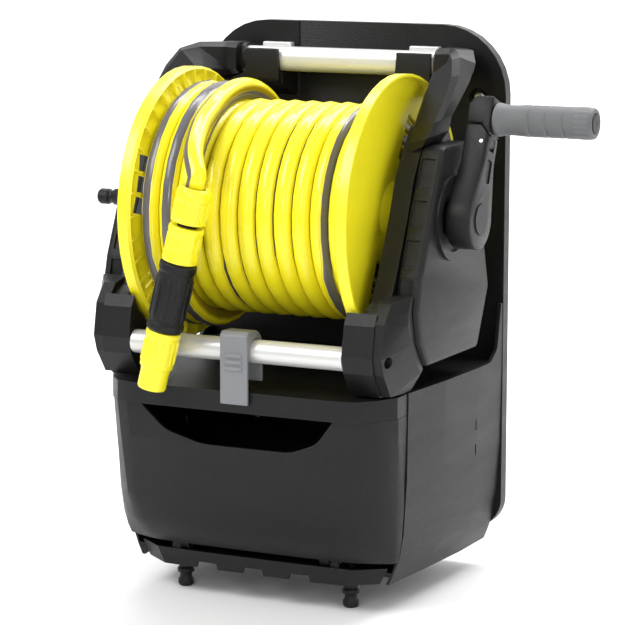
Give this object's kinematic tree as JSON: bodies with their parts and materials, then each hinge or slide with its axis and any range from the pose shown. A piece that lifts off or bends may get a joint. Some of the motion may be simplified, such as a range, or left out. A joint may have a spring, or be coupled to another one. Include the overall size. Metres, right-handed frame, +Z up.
{
  "type": "wall-mounted garden hose reel station",
  "caption": "Wall station for a garden hose: a lift-off cassette with a hand-cranked reel hangs on hooks above a storage bin with a drop-down flap.",
  "frame": {"origin": "on the back of the wall panel, on its middle line and halfway up it", "axes": "+Z up, +Y into the wall, so the front faces -Y; +X to the viewer's right, the crank's side"},
  "size_m": [0.478, 0.2961, 0.5105],
  "materials": {
    "black_plastic": "fine texture, satin",
    "graphite_plastic": "fine texture, satin",
    "yellow_plastic": "moulded, semi-gloss",
    "grey_soft_grip": "soft-touch, matt",
    "grey_plastic": "moulded, satin",
    "silver_paint": "satin silver",
    "zinc_steel": "zinc plated",
    "black_rubber": "matt",
    "yellow_hose": "smooth, semi-gloss"
  },
  "bodies": {
    "station": {"wall_panel": "black_plastic", "wall_screw_upper_left": "zinc_steel", "wall_screw_upper_right": "zinc_steel", "wall_screw_lower_left": "zinc_steel", "wall_screw_lower_right": "zinc_steel", "carry_hook_left": "black_plastic", "carry_hook_right": "black_plastic", "hook_plate_left": "silver_paint", "hook_plate_right": "silver_paint", "storage_bin": "graphite_plastic", "bin_deck": "black_plastic", "flap_pin_left": "zinc_steel", "flap_pin_right": "zinc_steel", "accessory_nipple_left": "black_plastic", "accessory_nipple_right": "black_plastic"},
    "flap": {"storage_flap": "graphite_plastic"},
    "cassette": {"side_frame_left": "black_plastic", "side_frame_right": "black_plastic", "side_cover_left": "graphite_plastic", "side_cover_right": "graphite_plastic", "top_bar": "silver_paint", "lower_bar": "silver_paint", "bar_screw_left": "zinc_steel", "bar_screw_right": "zinc_steel", "axle_bush_left": "black_rubber", "axle_bush_right": "black_rubber", "water_inlet": "black_plastic", "inlet_seal": "black_rubber", "hose_tail": "yellow_hose", "hose_nut": "yellow_plastic", "coupler_core": "black_plastic", "nozzle_body": "black_plastic"},
    "reel": {"reel_flange_left": "yellow_plastic", "reel_flange_right": "yellow_plastic", "reel_drum": "yellow_plastic", "drum_outlet": "black_plastic", "inner_hose_nut": "yellow_plastic", "drive_shaft": "zinc_steel", "hose_winding": "yellow_hose", "hose_top_turns": "yellow_hose", "crank_arm": "black_plastic", "crank_cap": "graphite_plastic", "crank_screw": "zinc_steel", "fold_pin": "zinc_steel"},
    "folding_block": {"grip_block": "black_plastic", "grip_spindle": "zinc_steel"},
    "grip": {"grip_sleeve": "grey_soft_grip", "grip_end_cap": "graphite_plastic"},
    "guide": {"hose_guide": "grey_plastic"},
    "release_sleeve": {"coupler_sleeve": "yellow_plastic"},
    "spray_tip": {"nozzle_tip": "yellow_plastic"}
  },
  "joints": [
    {"name": "cassette_lift", "type": "slide", "parent": "station", "child": "cassette", "axis": [0, 0, 1], "range_m": [0, 0.035]},
    {"name": "flap_hinge", "type": "hinge", "parent": "station", "child": "flap", "pos_m": [0, -0.2165, -0.2275], "axis": [1, 0, 0], "range_deg": [0, 30]},
    {"name": "reel_spin", "type": "hinge", "parent": "cassette", "child": "reel", "pos_m": [0, -0.143, 0.076], "axis": [1, 0, 0], "continuous": true},
    {"name": "grip_fold", "type": "hinge", "parent": "reel", "child": "folding_block", "pos_m": [0.178, -0.11775, 0.13914], "axis": [0, 0.9285, -0.3714], "range_deg": [0, 90]},
    {"name": "grip_spin", "type": "hinge", "parent": "folding_block", "child": "grip", "pos_m": [0.1845, -0.10902, 0.16096], "axis": [1, 0, 0], "continuous": true},
    {"name": "guide_slide", "type": "slide", "parent": "cassette", "child": "guide", "axis": [1, 0, 0], "range_m": [-0.028, 0.085]},
    {"name": "sleeve_pull", "type": "slide", "parent": "cassette", "child": "release_sleeve", "axis": [0.2362, 0.0213, 0.9715], "range_m": [0, 0.003], "stiffness_N_per_m": 400, "springref_m": -0.004},
    {"name": "tip_twist", "type": "hinge", "parent": "cassette", "child": "spray_tip", "pos_m": [-0.06479, -0.28041, -0.04593], "axis": [-0.2362, -0.0213, -0.9715], "range_deg": [-135, 135]}
  ]
}
